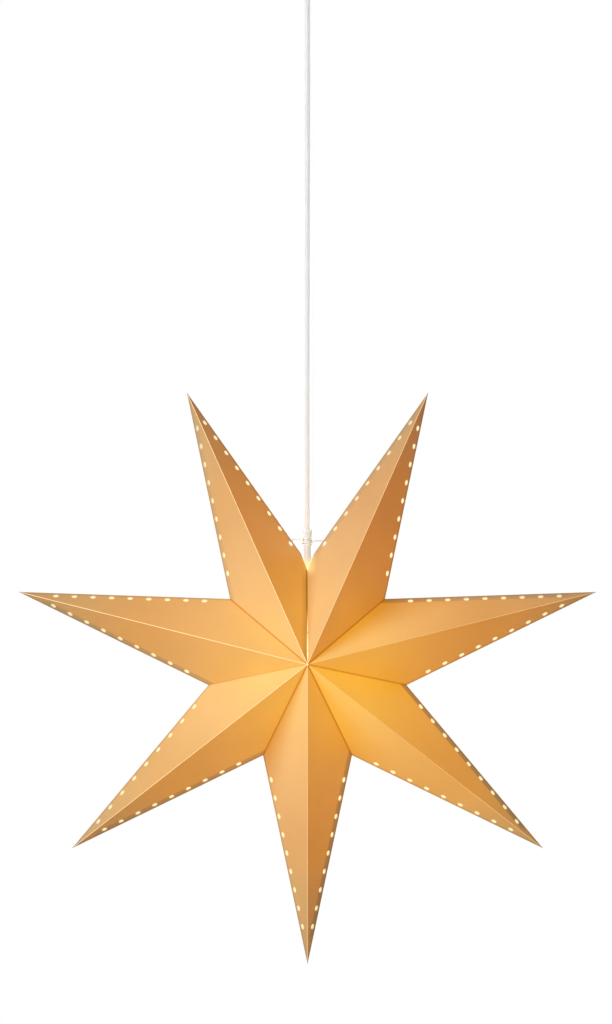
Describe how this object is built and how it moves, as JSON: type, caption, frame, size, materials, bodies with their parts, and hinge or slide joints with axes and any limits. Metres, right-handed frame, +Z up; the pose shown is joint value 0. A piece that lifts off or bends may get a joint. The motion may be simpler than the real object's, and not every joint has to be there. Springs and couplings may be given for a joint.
{
  "type": "star pendant lamp",
  "caption": "Folded card star pendant lamp with perforated edges, lit from inside, hung by its cord from a ceiling cup.",
  "frame": {"origin": "centre of the ceiling strap's top face, on the ceiling", "axes": "+Z up along the hanging cord, -Y out of the star's front, +X to the right seen from the front"},
  "size_m": [0.6112, 0.21, 1.11],
  "materials": {
    "gold_card": "matt coated card, warm gold",
    "cord_sheath": "satin white cord sheath",
    "white_plastic": "satin moulded plastic",
    "clear_nylon": "natural nylon",
    "white_ceramic": "unglazed",
    "brass": "plain",
    "steel": "zinc plated",
    "spring_wire": "bright spring wire",
    "bright_metal": "nickel bright",
    "black_insulator": "gloss",
    "opal_globe": "opal, lit",
    "board_white": "coated board",
    "led_yellow": "phosphor",
    "core_brown": "satin",
    "core_blue": "satin"
  },
  "bodies": {
    "ceiling_set": {"ceiling_strap": "steel", "ceiling_cup": "white_plastic", "cup_screws": "steel", "cord_gland": "white_plastic", "gland_nut": "steel", "grip_screw": "clear_nylon", "terminal_block": "clear_nylon", "block_screws": "brass", "fixing_screw": "steel", "ceiling_cord": "cord_sheath", "ceiling_lead_live": "core_brown", "ceiling_lead_neutral": "core_blue"},
    "cord_head": {"cord_top": "cord_sheath"},
    "cord_line": {"hanging_cord": "cord_sheath"},
    "lamp": {"holder_cap": "white_plastic", "cord_grip": "clear_nylon", "holder_cord": "cord_sheath", "holder_body": "white_plastic", "holder_insert": "white_ceramic", "terminal_plates": "brass", "terminal_screws": "steel", "screw_shell": "brass", "centre_contact": "brass", "holder_lead_live": "core_brown", "holder_lead_neutral": "core_blue", "clip_coil": "spring_wire", "star_point_1": "gold_card", "star_point_2": "gold_card", "star_point_3": "gold_card", "star_point_4": "gold_card", "star_point_5": "gold_card", "star_point_6": "gold_card", "star_point_7": "gold_card"},
    "clip_left": {"clip_arm_left": "spring_wire"},
    "clip_right": {"clip_arm_right": "spring_wire"},
    "bulb_carrier": {"bulb_tip": "bright_metal"},
    "bulb": {"bulb_insulator": "black_insulator", "bulb_cap": "bright_metal", "bulb_collar": "white_plastic", "bulb_globe": "opal_globe", "led_board": "board_white", "leds": "led_yellow"}
  },
  "joints": [
    {"name": "side_swing", "type": "hinge", "parent": "ceiling_set", "child": "cord_head", "pos_m": [0, 0, -0.07], "axis": [0, 1, 0], "range_deg": [-20, 20]},
    {"name": "front_swing", "type": "hinge", "parent": "cord_head", "child": "cord_line", "pos_m": [0, 0, -0.082], "axis": [1, 0, 0], "range_deg": [-20, 20]},
    {"name": "lamp_turn", "type": "hinge", "parent": "cord_line", "child": "lamp", "pos_m": [0, 0, -0.6575], "axis": [0, 0, 1], "range_deg": [-180, 180]},
    {"name": "clip_left_squeeze", "type": "hinge", "parent": "lamp", "child": "clip_left", "pos_m": [0, 0, -0.66285], "axis": [0, 0, 1], "range_deg": [-30, 0], "stiffness_Nm_per_rad": 0.02, "springref_deg": 5.73},
    {"name": "clip_right_squeeze", "type": "hinge", "parent": "lamp", "child": "clip_right", "pos_m": [0, 0, -0.6646], "axis": [0, 0, 1], "range_deg": [0, 30], "stiffness_Nm_per_rad": 0.02, "springref_deg": -5.73},
    {"name": "bulb_travel", "type": "slide", "parent": "lamp", "child": "bulb_carrier", "axis": [0, 0, -1], "range_m": [0, 0.0127]},
    {"name": "bulb_turn", "type": "hinge", "parent": "bulb_carrier", "child": "bulb", "pos_m": [0, 0, -0.75], "axis": [0, 0, -1], "range_deg": [0, 1620]}
  ],
  "couplings": [
    {"joint": "bulb_travel", "follows": "bulb_turn", "m_per_rad": 0.00044913}
  ]
}
